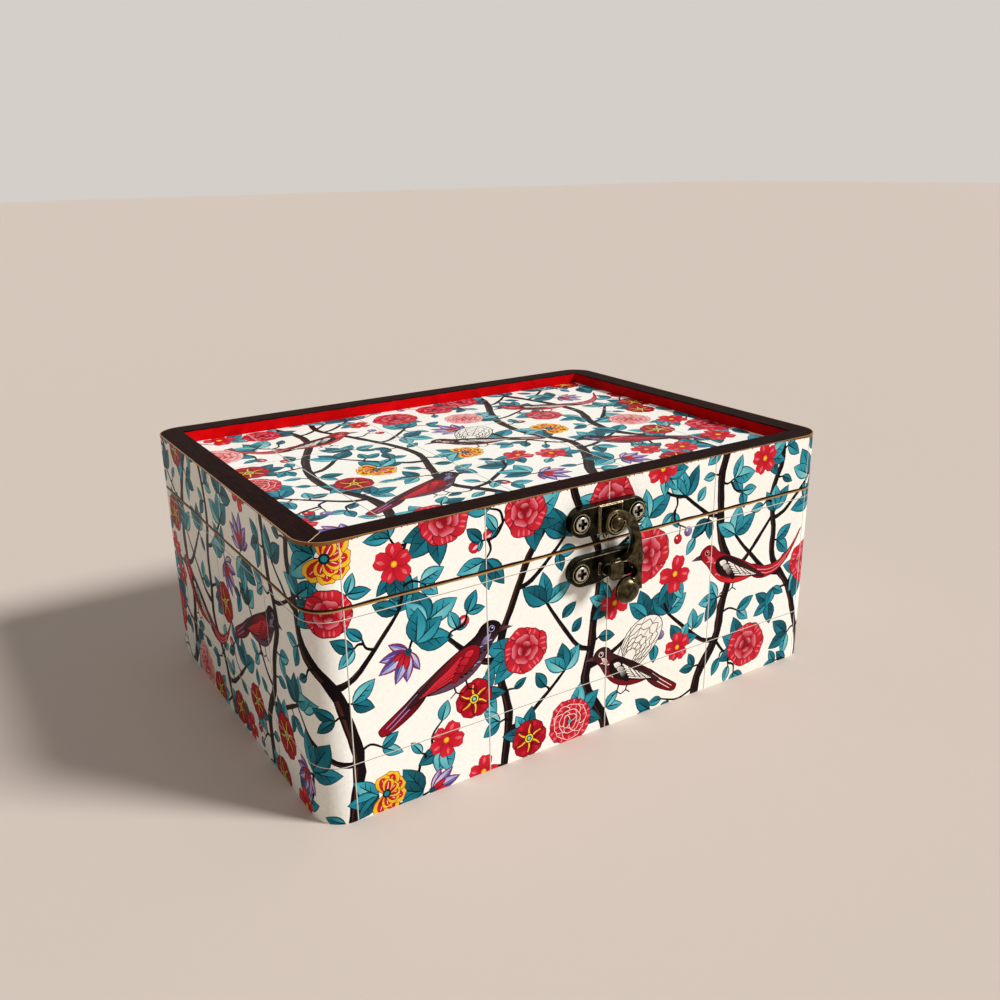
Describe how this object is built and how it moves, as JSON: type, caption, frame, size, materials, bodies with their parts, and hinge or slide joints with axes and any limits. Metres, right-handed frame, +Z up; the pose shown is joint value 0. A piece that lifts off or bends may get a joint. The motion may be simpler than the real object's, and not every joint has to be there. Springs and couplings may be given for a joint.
{
  "type": "hinged wooden gift box",
  "caption": "Rectangular lidded gift box of mitred boards under flower-and-bird print, with a recessed lid panel, rear butt hinges and a swing-hook latch.",
  "frame": {"origin": "middle of the flat underside of the case", "axes": "+X to the right along the front, -Y out of the front with the latch, +Z up"},
  "size_m": [0.182, 0.145, 0.08],
  "materials": {
    "painted_fibreboard": "dark brown stain on the rims, gloss red paint inside",
    "printed_paper": "varnished printed paper, ivory ground with flowers and birds",
    "antique_bronze": "antique bronze plating, dark with brighter worn edges",
    "screw_steel": "nickel-plated steel, darkened in the recess"
  },
  "bodies": {
    "case": {"case_front_wall": "painted_fibreboard", "case_back_wall": "painted_fibreboard", "case_left_wall": "painted_fibreboard", "case_right_wall": "painted_fibreboard", "bottom_panel": "painted_fibreboard", "case_print_paper": "printed_paper", "lower_latch_plate": "antique_bronze", "catch_post": "antique_bronze", "lower_latch_screws": "screw_steel", "left_hinge_case_leaf": "antique_bronze", "right_hinge_case_leaf": "antique_bronze", "left_hinge_pin": "antique_bronze", "right_hinge_pin": "antique_bronze", "case_hinge_screws": "antique_bronze"},
    "lid": {"lid_front_rail": "painted_fibreboard", "lid_back_rail": "painted_fibreboard", "lid_left_rail": "painted_fibreboard", "lid_right_rail": "painted_fibreboard", "lid_panel": "painted_fibreboard", "lid_panel_print": "printed_paper", "lid_print_paper": "printed_paper", "upper_latch_plate": "antique_bronze", "latch_rivet": "antique_bronze", "upper_latch_screws": "screw_steel", "left_hinge_lid_leaf": "antique_bronze", "right_hinge_lid_leaf": "antique_bronze", "lid_hinge_screws": "antique_bronze"},
    "latch_hook": {"swing_hook": "antique_bronze"}
  },
  "joints": [
    {"name": "lid_hinge", "type": "hinge", "parent": "case", "child": "lid", "pos_m": [0, 0.06855, 0.06175], "axis": [-1, 0, 0], "range_deg": [0, 180]},
    {"name": "hook_pivot", "type": "hinge", "parent": "lid", "child": "latch_hook", "pos_m": [-0.0007, -0.072, 0.0692], "axis": [0, -1, 0], "range_deg": [-16, 180]}
  ]
}
